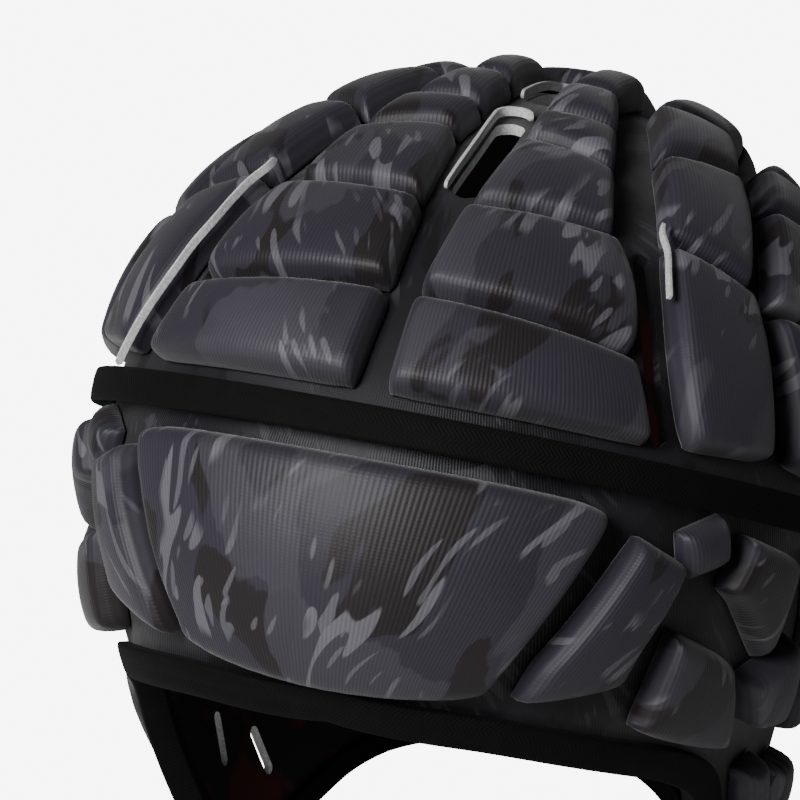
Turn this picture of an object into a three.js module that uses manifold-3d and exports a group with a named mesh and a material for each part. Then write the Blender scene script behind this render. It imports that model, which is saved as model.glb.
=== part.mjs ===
// A rugby scrum cap: a hollow padded cloth cap with a forehead pad, ear flaps, bound edges and a chin strap.
// Millimetres, +Z up. The wearer faces -Y and their left is +X.
// The origin is the highest point of the head inside the crown, where the cap sits.

import * as THREE from 'three';
import { mergeVertices } from 'three/addons/utils/BufferGeometryUtils.js';
import Module from 'manifold-3d';

// The form over the pads, from the widest plane of the head
const formWidth = 186;
const frontReach = 112.3;
const backReach = 114.9;
const crownHeight = 85.8;
const flapDrop = 128;
const crownFullness = 2.2;

// Padding, cloth and clearances
const padThickness = 9;
const clothWall = 2.6;
const seatGap = 0.5;
const creaseWidth = 1.4;

// Middle tape, on a plane that falls towards the nape
const bandWidth = 8.6;
const bandThickness = 5.6;
const bandFrontRise = 65.4;
const bandBackDrop = 73.5;

// Binding of the lower edge, and how far below the widest plane it crosses the brow
const bindingWidth = 9;
const bindingThickness = 7.4;
const bindingProud = 3;
const browDrop = 12;

// Vents
const crownSlotWidth = 7;
const rearSlotWidth = 6;
const sideSlotWidth = 5;
const flapSlitWidth = 3.4;
const cutterReach = 6;

// Chin strap, its lowest point below the widest plane and ahead of the middle, and its clearance to the flaps
const strapWidth = 24;
const strapThickness = 2.6;
const strapDrop = 161;
const strapForward = 60;
const strapGap = 1.8;
const strapTilt = 0.35;

const clothColour = 0x3c3a44;
const tapeColour = 0x2b2c29;
const strapColour = 0x232325;

// Form below the widest plane: shares of the flap drop, of half the width, and of the front and back reach
const lowerSections = [
  { drop: 0, side: 1, front: 1, back: 1 },
  { drop: 0.2, side: 0.985, front: 0.99, back: 0.99 },
  { drop: 0.4, side: 0.915, front: 0.94, back: 0.95 },
  { drop: 0.6, side: 0.868, front: 0.87, back: 0.87 },
  { drop: 0.8, side: 0.79, front: 0.79, back: 0.76 },
  { drop: 1.05, side: 0.67, front: 0.7, back: 0.63 },
];

// Lower edge from the brow to the nape: bearing in degrees from the front, and share of the way down
// from the brow to the flap's end
const lowerEdge = [
  { bearing: 0, fall: 0 },
  { bearing: 25, fall: 0.055 },
  { bearing: 45, fall: 0.165 },
  { bearing: 58, fall: 0.27 },
  { bearing: 65.5, fall: 0.37 },
  { bearing: 69.5, fall: 0.51 },
  { bearing: 72.5, fall: 0.67 },
  { bearing: 76, fall: 0.83 },
  { bearing: 83, fall: 0.94 },
  { bearing: 95, fall: 0.985 },
  { bearing: 105, fall: 0.975 },
  { bearing: 116, fall: 0.958 },
  { bearing: 128, fall: 0.93 },
  { bearing: 142, fall: 0.914 },
  { bearing: 180, fall: 0.91 },
];

// Crown columns: each row is a crease across the column. Its two ends have a bearing in degrees from the
// front, and a rise as a share of the way from the tape's upper edge to the crown. Beside a vent, the side of
// the pad above the crease bulges, by a share of its bearing
const crownColumns = {
  inner: [
    { innerAt: 2.4, innerRise: 0.01, outerAt: 50, outerRise: 0.01 },
    { innerAt: 2.6, innerRise: 0.325, outerAt: 51.5, outerRise: 0.237, outerBulge: 0.048 },
    { innerAt: 9.5, innerRise: 0.65, outerAt: 62.5, outerRise: 0.568 },
    { innerAt: 98, innerRise: 0.95, outerAt: 87, outerRise: 0.758 },
    { innerAt: 156, innerRise: 0.919, outerAt: 119, outerRise: 0.808 },
    { innerAt: 170, innerRise: 0.83, outerAt: 149, outerRise: 0.777 },
    { innerAt: 174, innerRise: 0.68, outerAt: 161, outerRise: 0.655 },
  ],
  middle: [
    { innerAt: 55.8, innerRise: 0.024, outerAt: 70.5, outerRise: 0.04, innerBulge: 0.056 },
    { innerAt: 74.5, innerRise: 0.574, outerAt: 83.5, outerRise: 0.426 },
    { innerAt: 108, innerRise: 0.752, outerAt: 115.5, outerRise: 0.614 },
    { innerAt: 147, innerRise: 0.741, outerAt: 134, outerRise: 0.618 },
    { innerAt: 160, innerRise: 0.588, outerAt: 147, outerRise: 0.517 },
    { innerAt: 166, innerRise: 0.29, outerAt: 154, outerRise: 0.26 },
    { innerAt: 167, innerRise: 0.01, outerAt: 157, outerRise: 0.01 },
  ],
  outer: [
    { innerAt: 75, innerRise: 0.045, outerAt: 87, outerRise: 0.02 },
    { innerAt: 85, innerRise: 0.399, outerAt: 98, outerRise: 0.296 },
    { innerAt: 110, innerRise: 0.569, outerAt: 116, outerRise: 0.415 },
    { innerAt: 129, innerRise: 0.584, outerAt: 131, outerRise: 0.431 },
    { innerAt: 147, innerRise: 0.48, outerAt: 143, outerRise: 0.29 },
  ],
  rear: [
    { innerAt: 98.5, innerRise: 0.25, outerAt: 99, outerRise: 0.01 },
    { innerAt: 147, innerRise: 0.235, outerAt: 150, outerRise: 0.01 },
  ],
};

// Wide pads down the back of the crown, across the middle: half their width as a bearing, and their rise
const backRows = [
  { half: 14, rise: 0.65 },
  { half: 10.8, rise: 0.41 },
  { half: 10.6, rise: 0.2 },
  { half: 10.2, rise: 0.01 },
];

// Pads below the tape, from the upper front corner round to the rear: bearing, and fall as a share of the
// way from the tape's lower edge to the bound edge
const sidePads = {
  temple_pad: [[45.5, 0.12], [53.2, 0.24], [43, 0.8], [25.4, 0.955]],
  cheek_pad: [[50.8, 0.57], [61, 0.6], [64.5, 0.9], [44.2, 0.955]],
  side_pad_upper: [[64.5, 0.03], [75.5, 0.055], [68.5, 0.527], [58.8, 0.36]],
  side_pad_lower: [[63.5, 0.66], [77.5, 0.227], [80, 0.435], [68, 0.73]],
  ear_pad: [[81, 0.02], [101, 0.02], [101, 0.418], [84.5, 0.451]],
  flap_pad_front: [[72.5, 0.7], [80, 0.51], [85.5, 0.84], [80.5, 0.86]],
  flap_pad_rear: [[83.5, 0.531], [92, 0.5], [95.5, 0.62], [89, 0.76]],
};
const templeRoundel = { bearing: 56.5, fall: 0.154, across: 15, rise: 0.8 };
const foreheadPad = { topAt: 43.2, topFall: 0.04, footAt: 22.8, footFall: 0.935, bow: 2.4 };
const napePad = { topAt: 27, topFall: 0.28, footAt: 25, footFall: 0.84 };

// Vents: bearing, and rise or fall, along each cut
const crownSlot = [[4, 0.756], [60, 0.988], [180, 0.915]];
const rearSlot = [[180, 0.83], [180, 0.76], [180, 0.69]];
const sideSlot = [[53, 0.035], [54.3, 0.139], [56.8, 0.267], [61.5, 0.409], [70.5, 0.575]];
const flapSlits = [[[92, 0.719], [91, 0.784], [89.6, 0.847]], [[102, 0.798], [103, 0.87], [104, 0.935]]];

// Chin strap on the outside of a flap: bearing and fall. Then, from the flap to the middle of the chin, its
// distance from the middle as a share of that at the flap, and the share of the way forward and down
const strapRoute = [[96, 0.9], [86.5, 0.97]];
const chinRoute = [
  { across: 0.82, share: 0.4 },
  { across: 0.45, share: 0.85 },
  { across: 0, share: 1 },
];

// Pad crown: how far out each ring lies, and how high, as shares of the pad
const padRings = [
  { reach: 0.95, rise: 0.66 },
  { reach: 0.68, rise: 0.95 },
];
const cornerRoundness = 7;
const slotEndShare = 0.45;

// How finely curves and faces are stepped
const padStep = 13;
const fewestPerSide = 3;
const mostPerSide = 10;
const padSeatStep = 21;
const wideSeatStep = 8.4;
const bandSteps = 44;
const edgeSteps = 31;
const edgeDivisions = 24;
const crownRows = 8;
const lowerRows = 5;
const slotSteps = 6;
const strapSteps = 28;
const halvings = 30;
const nudge = 0.004;
const weldDistance = 1e-4;
const roundingSlack = 1e-6;

const radians = THREE.MathUtils.degToRad;
const degrees = THREE.MathUtils.radToDeg;
const quarterTurn = 90;
const halfTurn = 180;
const fullTurn = 360;
const flapAngle = 60;
const innerCrown = crownHeight - padThickness - clothWall;
const shellInset = padThickness;
const wallMiddle = padThickness + clothWall / 2;
const liningInset = padThickness + clothWall;

// Smooth reading of a table: the value of a column at a place between its rows
function readTable(rows, key, column, place) {
  const last = rows.length - 1;
  let k = 0;
  while (k < last - 1 && rows[k + 1][key] < place) k += 1;
  const share = (place - rows[k][key]) / (rows[k + 1][key] - rows[k][key]);
  const slope = (i) => {
    const a = rows[Math.max(i - 1, 0)];
    const b = rows[Math.min(i + 1, last)];
    return (b[column] - a[column]) / (b[key] - a[key]);
  };
  const step = rows[k + 1][key] - rows[k][key];
  const square = share * share;
  const cube = square * share;
  return rows[k][column] * (2 * cube - 3 * square + 1) + slope(k) * step * (cube - 2 * square + share)
    + rows[k + 1][column] * (3 * square - 2 * cube) + slope(k + 1) * step * (cube - square);
}

// A point of the form at a bearing and height angle, set in from the surface over the pads.
// Below the widest plane the height angle runs evenly down to the end of the flaps, at flapAngle.
function formPoint(bearing, height, inset) {
  const b = radians(bearing);
  const front = Math.cos(b) > 0;
  if (height < 0) {
    const drop = -height / flapAngle;
    const side = readTable(lowerSections, 'drop', 'side', drop) * formWidth / 2 - inset;
    const reach = front ? readTable(lowerSections, 'drop', 'front', drop) * frontReach
      : readTable(lowerSections, 'drop', 'back', drop) * backReach;
    return new THREE.Vector3(side * Math.sin(b), -(reach - inset) * Math.cos(b), -drop * flapDrop);
  }
  const h = radians(Math.min(height, quarterTurn));
  const out = Math.cos(h);
  const up = Math.sin(h);
  const scale = (out ** crownFullness + up ** crownFullness) ** (-1 / crownFullness);
  const reach = (front ? frontReach : backReach) - inset;
  return new THREE.Vector3((formWidth / 2 - inset) * Math.sin(b) * out * scale,
    -reach * Math.cos(b) * out * scale, (crownHeight - inset) * up * scale);
}

// A bearing and height angle as a direction, and back
function direction([bearing, height]) {
  const b = radians(bearing);
  const h = radians(height);
  return new THREE.Vector3(Math.sin(b) * Math.cos(h), -Math.cos(b) * Math.cos(h), Math.sin(h));
}
function anglesOf(d) {
  return [degrees(Math.atan2(d.x, -d.y)), degrees(Math.asin(THREE.MathUtils.clamp(d.z / d.length(), -1, 1)))];
}
function alongForm(d, inset) {
  const [bearing, height] = anglesOf(d);
  return formPoint(bearing, height, inset);
}
function formNormal(d, inset) {
  const side = new THREE.Vector3(-d.y, d.x, 0);
  if (side.length() < nudge) side.set(1, 0, 0);
  side.normalize();
  const up = side.clone().cross(d).negate().normalize();
  const across = alongForm(d.clone().addScaledVector(side, nudge), inset)
    .sub(alongForm(d.clone().addScaledVector(side, -nudge), inset));
  const along = alongForm(d.clone().addScaledVector(up, nudge), inset)
    .sub(alongForm(d.clone().addScaledVector(up, -nudge), inset));
  const normal = across.cross(along).normalize();
  return normal.dot(d) < 0 ? normal.negate() : normal;
}

// A closed body from rings of points, each ring the same length, with the first and last closed by a point
// or, where the rings run round a loop, joined to each other
function bodyOfRings(rings, capStart, capEnd) {
  const count = rings[0].length;
  const points = rings.flat();
  const faces = [];
  const quad = (a, b, c, d) => faces.push(a, b, c, a, c, d);
  const steps = capStart ? rings.length - 1 : rings.length;
  for (let r = 0; r < steps; r += 1) {
    const next = (r + 1) % rings.length;
    for (let k = 0; k < count; k += 1) {
      const after = (k + 1) % count;
      quad(r * count + k, r * count + after, next * count + after, next * count + k);
    }
  }
  if (capStart) {
    const first = points.push(capStart) - 1;
    const final = points.push(capEnd) - 1;
    const base = (rings.length - 1) * count;
    for (let k = 0; k < count; k += 1) {
      const after = (k + 1) % count;
      faces.push(first, after, k, final, base + k, base + after);
    }
  }
  const geometry = new THREE.BufferGeometry();
  geometry.setAttribute('position', new THREE.Float32BufferAttribute(points.flatMap((p) => p.toArray()), 3));
  geometry.setIndex(faces);
  return facingOut(geometry);
}

// Turns every face round where the body is inside out
function facingOut(geometry) {
  const position = geometry.attributes.position;
  const index = geometry.index.array;
  const [a, b, c] = [new THREE.Vector3(), new THREE.Vector3(), new THREE.Vector3()];
  let volume = 0;
  for (let k = 0; k < index.length; k += 3) {
    a.fromBufferAttribute(position, index[k]);
    b.fromBufferAttribute(position, index[k + 1]);
    c.fromBufferAttribute(position, index[k + 2]);
    volume += a.dot(b.cross(c));
  }
  if (volume < 0) {
    const turned = Array.from(index);
    for (let k = 0; k < turned.length; k += 3) [turned[k], turned[k + 1]] = [turned[k + 1], turned[k]];
    geometry.setIndex(turned);
  }
  return geometry;
}

// The outline of a pad: points evenly round a square, drawn in to rounded corners
function padOutline(perSide) {
  const outline = [];
  for (let side = 0; side < 4; side += 1) {
    for (let k = 0; k < perSide; k += 1) {
      const p = new THREE.Vector2(1, -1 + 2 * k / perSide);
      p.rotateAround(new THREE.Vector2(), side * Math.PI / 2);
      const sum = Math.abs(p.x) ** cornerRoundness + Math.abs(p.y) ** cornerRoundness;
      outline.push(p.divideScalar(sum ** (1 / cornerRoundness)));
    }
  }
  return outline;
}

// A crowned pad on the form between four corner directions, drawn in by half a crease all round.
// Its upper side may bow up by some degrees, and its inner and outer sides may bulge.
// Its seat follows the shell, and a fan that would cut a corner of the curve is lifted to clear it.
function padBody(corners, { rise = 1, bow = 0, innerBulge = 0, outerBulge = 0, seatStep = padSeatStep } = {}) {
  const ends = corners.map(direction);
  const surface = (x, y) => {
    const s = (x + 1) / 2;
    const t = (y + 1) / 2;
    const d = new THREE.Vector3();
    const weights = [(1 - s) * (1 - t), s * (1 - t), s * t, (1 - s) * t];
    weights.forEach((weight, k) => d.addScaledVector(ends[k], weight));
    const [bearing, height] = anglesOf(d);
    const bulge = (outerBulge * s - innerBulge * (1 - s)) * (1 - y * y);
    return direction([bearing * (1 + bulge), height + bow * (1 - t) * (1 - x * x)]);
  };
  const seat = shellInset - seatGap;
  const halfLength = alongForm(surface(1, 0), seat).distanceTo(alongForm(surface(-1, 0), seat)) / 2;
  const halfBreadth = alongForm(surface(0, 1), seat).distanceTo(alongForm(surface(0, -1), seat)) / 2;
  const drawIn = new THREE.Vector2(1 - creaseWidth / 2 / halfLength, 1 - creaseWidth / 2 / halfBreadth);
  const perSide = THREE.MathUtils.clamp(
    Math.ceil(2 * Math.max(halfLength, halfBreadth) / padStep), fewestPerSide, mostPerSide,
  );
  const crown = (padThickness - seatGap) * rise;
  const ring = (reach, lift) => padOutline(perSide).map((p) => {
    const d = surface(p.x * reach * drawIn.x, p.y * reach * drawIn.y);
    return alongForm(d, seat - lift);
  });
  const corner = Math.hypot(halfLength, halfBreadth);
  const seatSteps = Math.ceil(corner / seatStep);
  const rings = [];
  for (let k = 1; k <= seatSteps; k += 1) rings.push(ring(k / seatSteps, 0));
  for (const { reach, rise: share } of padRings) rings.push(ring(reach, share * crown));
  const lift = (corner / seatSteps) ** 2 / (2 * formWidth);
  return bodyOfRings(rings, alongForm(surface(0, 0), seat - lift), alongForm(surface(0, 0), seat - crown));
}

// A flat section with bevelled outer corners, carried along a run or round a loop, square to it and the form
function sweptBody(stations, width, thickness, closed) {
  const bevel = Math.min(width, thickness) / 3;
  const [w, t] = [width / 2, thickness / 2];
  const section = [[w, -t], [w, t - bevel], [w - bevel, t], [bevel - w, t], [-w, t - bevel], [-w, -t]];
  const rings = stations.map(({ place, normal }, k) => {
    const before = stations[closed ? (k + stations.length - 1) % stations.length : Math.max(k - 1, 0)].place;
    const after = stations[closed ? (k + 1) % stations.length : Math.min(k + 1, stations.length - 1)].place;
    const along = after.clone().sub(before).normalize();
    const out = normal.clone().addScaledVector(along, -normal.dot(along)).normalize();
    const across = out.clone().cross(along);
    return section.map(([x, y]) => place.clone().addScaledVector(across, x).addScaledVector(out, y));
  });
  if (closed) return bodyOfRings(rings, null, null);
  return bodyOfRings(rings, stations[0].place.clone(), stations[stations.length - 1].place.clone());
}

// Height angle of the middle tape at a bearing, found by halving
function bandHeight(bearing) {
  const slope = (bandFrontRise + bandBackDrop) / (frontReach + backReach);
  const level = bandFrontRise - slope * frontReach;
  let [low, high] = [-flapAngle, flapAngle];
  for (let k = 0; k < halvings; k += 1) {
    const middle = (low + high) / 2;
    const p = formPoint(bearing, middle, shellInset / 2);
    if (p.z > level - slope * p.y) high = middle;
    else low = middle;
  }
  return (low + high) / 2;
}

// Length on the shell of one degree of height
function mmPerDegree(bearing, height) {
  const [low, high] = [-1, 1].map((side) => formPoint(bearing, height + side / 2, shellInset));
  return high.distanceTo(low);
}

// Height angles of the tape's two edges, with the clearance to the pads beside it
const bandTilt = Math.atan((bandFrontRise + bandBackDrop) / (frontReach + backReach));
function tapeEdge(bearing, side) {
  const height = bandHeight(bearing);
  return height + side * (bandWidth / 2 + seatGap) / Math.cos(bandTilt) / mmPerDegree(bearing, height);
}

// The lower edge as a curve of bearing and height angle, and its height beside a pad at a bearing
const edgeCurve = new THREE.CatmullRomCurve3(lowerEdge.map(({ bearing, fall }) => (
  new THREE.Vector3(bearing, -flapAngle * (browDrop + fall * (flapDrop - browDrop)) / flapDrop, 0)
)), false, 'centripetal');
const edgePoints = edgeCurve.getPoints(lowerEdge.length * edgeDivisions);
function edgeTop(bearing) {
  const at = Math.abs(bearing);
  const k = Math.max(edgePoints.findIndex((p) => p.x >= at - roundingSlack), 1);
  const [before, after] = [edgePoints[k - 1], edgePoints[k]];
  const height = before.y + (after.y - before.y) * (at - before.x) / (after.x - before.x);
  return height + (bindingWidth / 2 + seatGap) / mmPerDegree(bearing, height);
}

// Shares of the way from the tape to the crown, or down to the bound edge, as height angles
const risen = ([bearing, share]) => {
  const foot = tapeEdge(bearing, 1);
  return [bearing, foot + share * (quarterTurn - foot)];
};
const fallen = ([bearing, share]) => {
  const top = tapeEdge(bearing, -1);
  return [bearing, top + share * (edgeTop(bearing) - top)];
};

// Stations of the lower edge on the wearer's left, evenly spaced, then mirrored into a loop
function edgeLoop(perHalf) {
  const fine = edgePoints.map((p) => [p.x, p.y]);
  const places = fine.map((angles) => formPoint(...angles, wallMiddle));
  const lengths = [0];
  for (let k = 1; k < places.length; k += 1) {
    lengths.push(lengths[k - 1] + places[k].distanceTo(places[k - 1]));
  }
  const total = lengths[lengths.length - 1];
  const half = [];
  for (let k = 0; k <= perHalf; k += 1) {
    let at = lengths.findIndex((length) => length >= total * k / perHalf - roundingSlack);
    if (at < 0) at = fine.length - 1;
    half.push(fine[at]);
  }
  half[0] = [0, half[0][1]];
  half[perHalf] = [halfTurn, half[perHalf][1]];
  const otherHalf = half.slice(1, -1).reverse().map(([bearing, height]) => [-bearing, height]);
  return [...half, ...otherHalf];
}

// Places and outward directions of a run of angles at one depth
function loopStations(angles, inset) {
  return angles.map((pair) => {
    const d = direction(pair);
    return { place: formPoint(...pair, inset), normal: formNormal(d, inset) };
  });
}

// The shell's rim beside the bound edge: the edge moved up by half the binding and the clearance, square to
// the binding, as points on both faces of the wall and as angles
function boundRim(loop) {
  const offset = bindingWidth / 2 + seatGap;
  const stations = loopStations(loop, wallMiddle);
  return stations.map(({ place, normal }, k) => {
    const before = stations[(k + stations.length - 1) % stations.length].place;
    const after = stations[(k + 1) % stations.length].place;
    const along = after.clone().sub(before).normalize();
    const out = normal.clone().addScaledVector(along, -normal.dot(along)).normalize();
    const p = place.clone().addScaledVector(out.clone().cross(along), offset);
    const drop = -p.z / flapDrop;
    const side = readTable(lowerSections, 'drop', 'side', drop) * formWidth / 2 - wallMiddle;
    const reach = (p.y < 0 ? readTable(lowerSections, 'drop', 'front', drop) * frontReach
      : readTable(lowerSections, 'drop', 'back', drop) * backReach) - wallMiddle;
    return {
      shell: p.clone().addScaledVector(out, clothWall / 2),
      lining: p.clone().addScaledVector(out, -clothWall / 2),
      angles: [degrees(Math.atan2(p.x / side, -p.y / reach)), -flapAngle * drop],
    };
  });
}

// A wall of cloth between two rims: shell outside, lining inside
function wallBody(lowRim, highRim, rows) {
  const between = (k, share) => {
    const [b0, h0] = lowRim[k].angles;
    const [b1, h1] = highRim[k];
    return [b0 + (b1 - b0) * share, h0 + (h1 - h0) * share];
  };
  const ring = (share, inset) => lowRim.map((_, k) => formPoint(...between(k, share), inset));
  const rings = [lowRim.map(({ shell }) => shell)];
  for (let r = 1; r <= rows; r += 1) rings.push(ring(r / rows, shellInset));
  for (let r = rows; r >= 1; r -= 1) rings.push(ring(r / rows, liningInset));
  rings.push(lowRim.map(({ lining }) => lining));
  return bodyOfRings(rings, null, null);
}

// A wall of cloth from a rim up over the crown, open below
function crownWall(rim, rows) {
  const ring = (share, inset) => rim.map(([bearing, height]) => (
    formPoint(bearing, height + (quarterTurn - height) * share, inset)
  ));
  const rings = [];
  for (let r = rows - 1; r >= 0; r -= 1) rings.push(ring(r / rows, shellInset));
  for (let r = 0; r < rows; r += 1) rings.push(ring(r / rows, liningInset));
  return bodyOfRings(rings, formPoint(0, quarterTurn, shellInset), formPoint(0, quarterTurn, liningInset));
}

// A cutter for a vent: a strip through the wall with drawn-in ends
function slotCutter(route, width) {
  const curve = new THREE.CatmullRomCurve3(route.map(direction), false, 'centripetal');
  const stations = [];
  for (let k = 0; k <= slotSteps; k += 1) {
    const d = curve.getPoint(k / slotSteps).normalize();
    stations.push({ place: alongForm(d, wallMiddle), normal: formNormal(d, shellInset) });
  }
  const rings = stations.map(({ place, normal }, k) => {
    const before = stations[Math.max(k - 1, 0)].place;
    const after = stations[Math.min(k + 1, slotSteps)].place;
    const along = after.clone().sub(before).normalize();
    const across = normal.clone().cross(along).normalize();
    const half = width / 2 * (k === 0 || k === slotSteps ? slotEndShare : 1);
    return [[half, cutterReach], [-half, cutterReach], [-half, -cutterReach], [half, -cutterReach]]
      .map(([x, y]) => place.clone().addScaledVector(across, x).addScaledVector(normal, y));
  });
  return bodyOfRings(rings, stations[0].place.clone(), stations[slotSteps].place.clone());
}

const wasm = await Module();
wasm.setup();

function solidOf(geometry) {
  const bare = geometry.clone();
  bare.deleteAttribute('normal');
  bare.deleteAttribute('uv');
  const merged = mergeVertices(bare, weldDistance);
  return new wasm.Manifold(new wasm.Mesh({
    numProp: 3,
    vertProperties: new Float32Array(merged.attributes.position.array),
    triVerts: new Uint32Array(merged.index.array),
  }));
}

function withVents(geometry, cutters) {
  const cut = cutters.reduce((solid, cutter) => solid.subtract(solidOf(cutter)), solidOf(geometry));
  const mesh = cut.getMesh();
  const vented = new THREE.BufferGeometry();
  vented.setAttribute('position', new THREE.Float32BufferAttribute(mesh.vertProperties, 3));
  vented.setIndex(Array.from(mesh.triVerts));
  return vented;
}

const finish = (color, roughness) => new THREE.MeshStandardMaterial({ color, roughness, metalness: 0 });
const cloth = finish(clothColour, 0.75);
const tape = finish(tapeColour, 0.85);
const webbing = finish(strapColour, 0.8);

const cap = new THREE.Group();
const body = new THREE.Group();
body.position.z = -innerCrown;
cap.add(body);

function addPiece(name, geometry, material) {
  const mesh = new THREE.Mesh(geometry, material);
  mesh.name = name;
  body.add(mesh);
}

const mirrored = (corners) => corners.map(([bearing, height]) => [-bearing, height]);
const sides = [{ name: 'left', turn: (corners) => corners }, { name: 'right', turn: mirrored }];

// Shells: the crown above the tape, and the panel with the flaps below it
const bandLoop = Array.from({ length: bandSteps }, (_, k) => {
  const turned = fullTurn * k / bandSteps;
  const bearing = turned > halfTurn ? turned - fullTurn : turned;
  return [bearing, bandHeight(bearing)];
});
const seam = degrees(seatGap / crownHeight);
const crownRim = bandLoop.map(([bearing, height]) => [bearing, height + seam / 2]);
addPiece('crown_shell', withVents(crownWall(crownRim, crownRows), [
  slotCutter(crownSlot.map(risen), crownSlotWidth),
  slotCutter(rearSlot.map(risen), rearSlotWidth),
  slotCutter(sideSlot.map(risen), sideSlotWidth),
  slotCutter(mirrored(sideSlot.map(risen)), sideSlotWidth),
]), cloth);

const edge = edgeLoop(edgeSteps);
const lowRim = boundRim(edge);
const highRim = lowRim.map(({ angles: [bearing] }, k) => {
  const turn = k <= edgeSteps ? 1 : -1;
  const share = (k <= edgeSteps ? k : 2 * edgeSteps - k) / edgeSteps;
  const even = turn * halfTurn * share;
  const at = k % edgeSteps === 0 ? even : (bearing + even) / 2;
  return [at, bandHeight(at) - seam / 2];
});
const slitCutters = sides.flatMap(({ turn }) => flapSlits.map((slit) => (
  slotCutter(turn(slit.map(fallen)), flapSlitWidth)
)));
addPiece('lower_shell', withVents(wallBody(lowRim, highRim, lowerRows), slitCutters), cloth);

// Tapes
addPiece('middle_tape', sweptBody(loopStations(bandLoop, shellInset - seatGap - bandThickness / 2),
  bandWidth, bandThickness, true), tape);
addPiece('edge_binding', sweptBody(loopStations(edge, shellInset - bindingProud + bindingThickness / 2),
  bindingWidth, bindingThickness, true), tape);

// Crown pads
for (const { name, turn } of sides) {
  for (const [column, creases] of Object.entries(crownColumns)) {
    for (let k = 0; k + 1 < creases.length; k += 1) {
      const [low, high] = [creases[k], creases[k + 1]];
      const corners = [[high.innerAt, high.innerRise], [high.outerAt, high.outerRise],
        [low.outerAt, low.outerRise], [low.innerAt, low.innerRise]];
      const { innerBulge, outerBulge } = low;
      const pad = padBody(turn(corners.map(risen)), { innerBulge, outerBulge });
      addPiece(`${column}_pad_${name}_${k + 1}`, pad, cloth);
    }
  }
}
const acrossBack = (half, height) => [[halfTurn - half, height], [halfTurn + half, height]];
for (let k = 0; k + 1 < backRows.length; k += 1) {
  const [upper, lower] = [backRows[k], backRows[k + 1]];
  addPiece(`back_pad_${k + 1}`, padBody([
    ...acrossBack(upper.half, upper.rise), ...acrossBack(lower.half, lower.rise).reverse(),
  ].map(risen)), cloth);
}

// Pads below the tape
const { topAt, topFall, footAt, footFall, bow } = foreheadPad;
addPiece('forehead_pad', padBody([
  [-topAt, topFall], [topAt, topFall], [footAt, footFall], [-footAt, footFall],
].map(fallen), { bow, seatStep: wideSeatStep }), cloth);
addPiece('nape_pad', padBody([
  [halfTurn - napePad.topAt, napePad.topFall], [napePad.topAt - halfTurn, napePad.topFall],
  [napePad.footAt - halfTurn, napePad.footFall], [halfTurn - napePad.footAt, napePad.footFall],
].map(fallen), { seatStep: wideSeatStep }), cloth);
for (const { name, turn } of sides) {
  for (const [pad, corners] of Object.entries(sidePads)) {
    addPiece(`${pad}_${name}`, padBody(turn(corners.map(fallen))), cloth);
  }
  const [bearing, height] = fallen([templeRoundel.bearing, templeRoundel.fall]);
  const spread = degrees(templeRoundel.across / formWidth);
  addPiece(`temple_roundel_${name}`, padBody(turn([
    [bearing - spread, height + spread], [bearing + spread, height + spread],
    [bearing + spread, height - spread], [bearing - spread, height - spread],
  ]), { rise: templeRoundel.rise }), cloth);
}

// Chin strap, from the outside of one flap under the chin to the other
const strapInset = shellInset - bindingProud - strapGap - strapThickness / 2;
const strapStart = loopStations(strapRoute.map(fallen), strapInset);
const flapEnd = strapStart[1].place;
const underChin = chinRoute.map(({ across, share }) => ({
  place: new THREE.Vector3(flapEnd.x * across, flapEnd.y - (strapForward + flapEnd.y) * share,
    flapEnd.z - (strapDrop + flapEnd.z) * share),
  normal: new THREE.Vector3(across, -strapTilt, across - 1).normalize(),
}));
const strapHalf = [...strapStart, ...underChin];
const mirrorX = ({ place, normal }) => ({
  place: place.clone().setX(-place.x), normal: normal.clone().setX(-normal.x),
});
const strapNodes = [...strapHalf, ...strapHalf.slice(0, -1).reverse().map(mirrorX)];
const strapPath = new THREE.CatmullRomCurve3(strapNodes.map(({ place }) => place), false, 'centripetal');
const strapNormals = new THREE.CatmullRomCurve3(strapNodes.map(({ normal }) => normal), false, 'centripetal');
const strapStations = [];
for (let k = 0; k <= strapSteps; k += 1) {
  strapStations.push({
    place: strapPath.getPoint(k / strapSteps), normal: strapNormals.getPoint(k / strapSteps).normalize(),
  });
}
addPiece('chin_strap', sweptBody(strapStations, strapWidth, strapThickness, false), webbing);

export default cap;
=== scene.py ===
"""A rugby scrum cap: crowned foam pads in printed rib cloth, twill tapes, cut vents and a webbing chin strap.

Metres, +Z up. The wearer faces -Y and their left is +X. The origin is the top of the head inside the crown.
"""

import logging
import math
from dataclasses import dataclass, field
from enum import Enum
from typing import Callable, Optional, Sequence

import bpy
import numpy as np
from mathutils import Matrix, Vector


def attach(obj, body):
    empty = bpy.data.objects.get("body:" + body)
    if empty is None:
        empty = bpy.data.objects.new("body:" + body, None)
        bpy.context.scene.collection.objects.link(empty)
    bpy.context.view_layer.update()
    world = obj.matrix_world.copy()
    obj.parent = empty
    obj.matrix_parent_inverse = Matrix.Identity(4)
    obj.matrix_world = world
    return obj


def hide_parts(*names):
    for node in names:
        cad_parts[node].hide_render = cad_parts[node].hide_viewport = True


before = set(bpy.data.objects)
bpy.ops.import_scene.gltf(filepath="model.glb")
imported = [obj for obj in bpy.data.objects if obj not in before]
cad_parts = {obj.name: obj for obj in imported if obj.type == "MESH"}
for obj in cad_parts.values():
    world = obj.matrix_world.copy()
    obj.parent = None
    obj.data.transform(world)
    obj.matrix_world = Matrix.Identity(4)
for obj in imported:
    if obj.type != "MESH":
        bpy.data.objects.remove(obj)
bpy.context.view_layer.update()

LOG = logging.getLogger("scrum_cap")
Array = np.ndarray
Rows = Sequence[Sequence[float]]


class Slot(Enum):
    """The record's material slots."""

    CLOTH = "print_cloth"
    TAPE = "edge_tape"
    WEBBING = "strap_webbing"


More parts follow.
